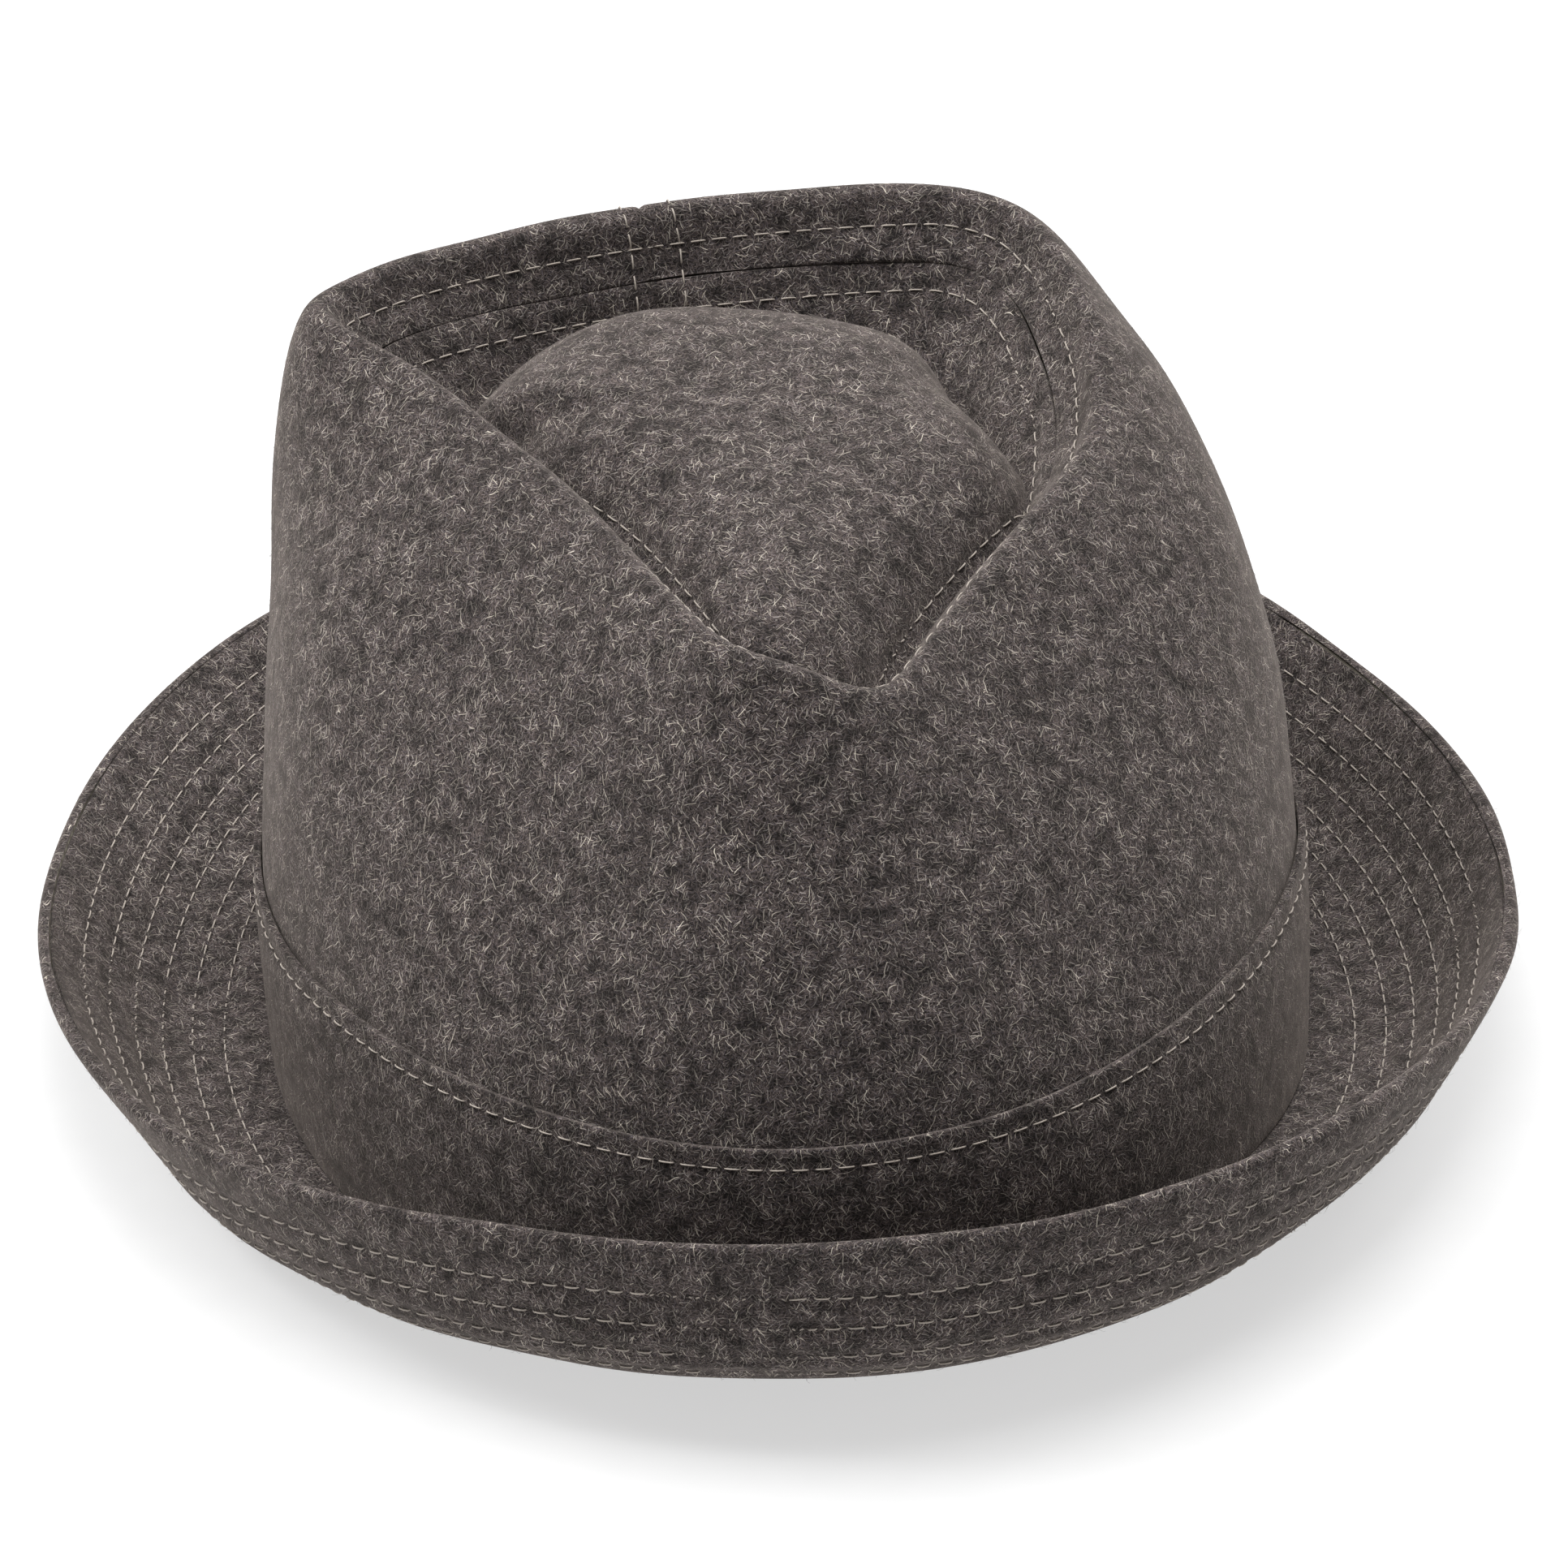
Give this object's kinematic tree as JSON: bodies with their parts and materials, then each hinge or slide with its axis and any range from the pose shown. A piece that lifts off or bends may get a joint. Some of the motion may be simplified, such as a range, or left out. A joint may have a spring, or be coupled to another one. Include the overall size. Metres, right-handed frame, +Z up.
{
  "type": "fedora hat",
  "caption": "Short-brimmed men's hat cut and sewn from charcoal wool: pinched teardrop crown, rolled-up brim with rows of topstitching, self-fabric band, satin lining.",
  "frame": {"origin": "middle of the brim's outline, on the surface that the hat stands on", "axes": "+Z up through the crown, +Y towards the back of the head, +X towards the wearer's left"},
  "size_m": [0.2538, 0.2768, 0.1214],
  "materials": {
    "crown_wool": "charcoal melange wool flannel with pale stray fibres, matt",
    "band_wool": "the same melange wool, folded along its top edge",
    "brim_wool": "the same melange wool, quilted by rows of topstitching",
    "crown_canvas": "stiff woven canvas interlining",
    "brim_canvas": "stiff woven canvas interlining",
    "cotton_twill": "black cotton twill with a fine diagonal rib",
    "white_foam": "thin padding foam",
    "satin_lining": "charcoal satin with a soft sheen",
    "black_piping": "satin-covered piping cord",
    "grey_thread": "grey-taupe polyester sewing thread",
    "label_satin": "blank white satin label"
  },
  "bodies": {
    "hat": {"brim_interlining": "brim_canvas", "brim_topstitching_1": "grey_thread", "brim_topstitching_2": "grey_thread", "brim_topstitching_3": "grey_thread", "brim_topstitching_4": "grey_thread", "brim_topstitching_5": "grey_thread", "brim_topstitching_6": "grey_thread", "brim_under": "brim_wool", "brim_upper": "brim_wool", "centre_back_topstitching_left": "grey_thread", "centre_back_topstitching_right": "grey_thread", "crown_side": "crown_wool", "crown_side_interlining": "crown_canvas", "crown_tip": "crown_wool", "crown_tip_interlining": "crown_canvas", "hatband": "band_wool", "hatband_topstitching": "grey_thread", "lining_piping": "black_piping", "lining_side": "satin_lining", "lining_tip": "satin_lining", "ridge_topstitching": "grey_thread", "sweatband": "cotton_twill", "sweatband_foam": "white_foam", "tip_topstitching": "grey_thread"},
    "label": {"care_label": "label_satin"}
  },
  "joints": [
    {"name": "care_label_flip", "type": "hinge", "parent": "hat", "child": "label", "pos_m": [-0.00065, 0.08807, 0.03913], "axis": [-1, 0, 0], "range_deg": [0, 150]}
  ]
}
